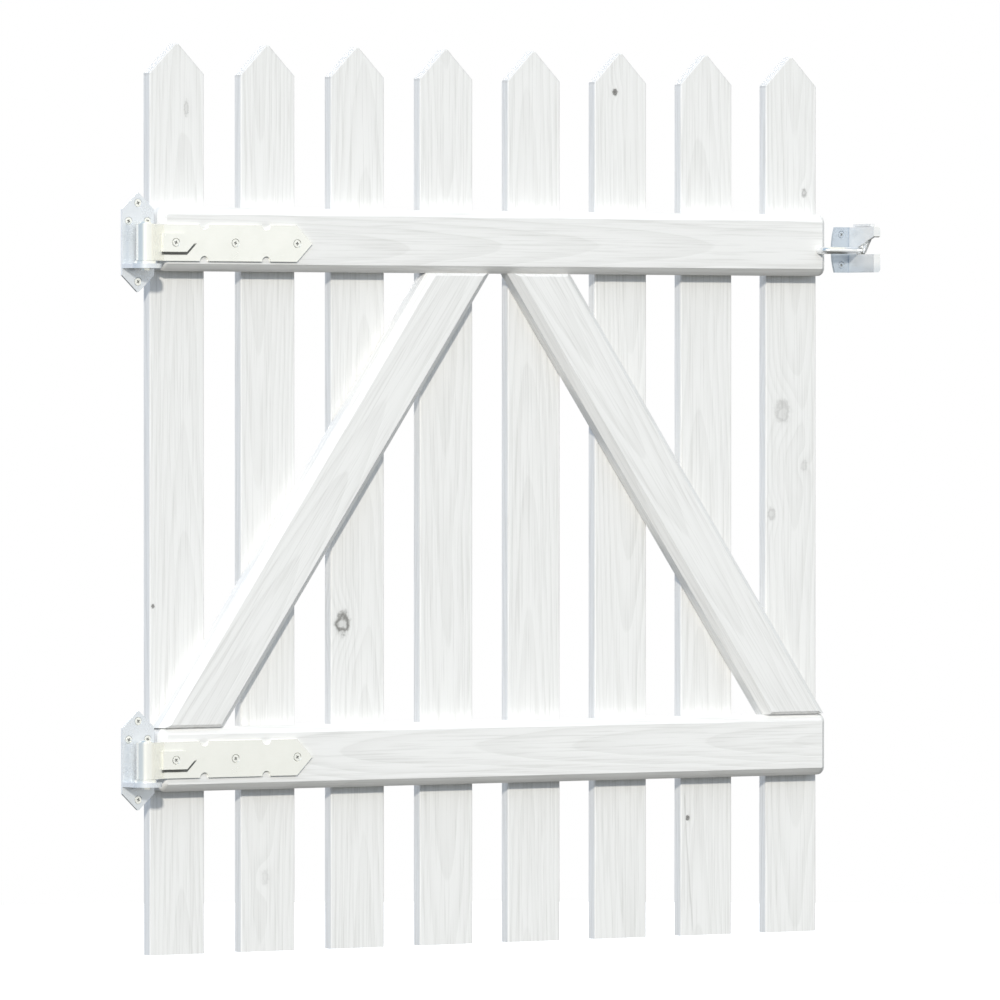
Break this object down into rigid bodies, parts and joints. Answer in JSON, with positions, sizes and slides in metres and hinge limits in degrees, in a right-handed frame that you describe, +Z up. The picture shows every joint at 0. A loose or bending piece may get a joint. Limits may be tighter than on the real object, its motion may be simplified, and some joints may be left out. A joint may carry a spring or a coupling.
{
  "type": "wooden picket garden gate leaf with strap hinges and a gravity catch",
  "caption": "White picket garden gate: pointed pickets on two rails with a pair of diagonal braces, strap hinges on pins, and a striker bar that drops into a gravity catch.",
  "frame": {"origin": "centre of the lower hinge plate's back face, on the front face of the gate post", "axes": "+X from the hinges to the catch along the leaf, +Y away from the front into the post, +Z up"},
  "size_m": [0.9763, 0.083, 1],
  "materials": {
    "painted_timber": "white painted softwood, satin",
    "hinge_zinc": "zinc plated, pale",
    "latch_zinc": "galvanised, bluish"
  },
  "bodies": {
    "post_ironwork": {"lower_hinge_plate": "hinge_zinc", "lower_hinge_pin": "hinge_zinc", "lower_hinge_washer": "hinge_zinc", "upper_hinge_plate": "hinge_zinc", "upper_hinge_pin": "hinge_zinc", "upper_hinge_washer": "hinge_zinc", "latch_bracket": "latch_zinc", "latch_rivet": "latch_zinc"},
    "leaf": {"picket_1": "painted_timber", "picket_2": "painted_timber", "picket_3": "painted_timber", "picket_4": "painted_timber", "picket_5": "painted_timber", "picket_6": "painted_timber", "picket_7": "painted_timber", "picket_8": "painted_timber", "lower_rail": "painted_timber", "upper_rail": "painted_timber", "left_brace": "painted_timber", "right_brace": "painted_timber", "lower_hinge_strap": "hinge_zinc", "upper_hinge_strap": "hinge_zinc", "striker_bar": "latch_zinc"},
    "latch_dog": {"latch_dog": "latch_zinc"}
  },
  "joints": [
    {"name": "gate_swing", "type": "hinge", "parent": "post_ironwork", "child": "leaf", "pos_m": [0, -0.01805, 0], "axis": [0, 0, -1], "range_deg": [0, 110]},
    {"name": "latch_lift", "type": "hinge", "parent": "post_ironwork", "child": "latch_dog", "pos_m": [0.9518, -0.007, 0.572], "axis": [-1, 0, 0], "range_deg": [0, 28]}
  ]
}
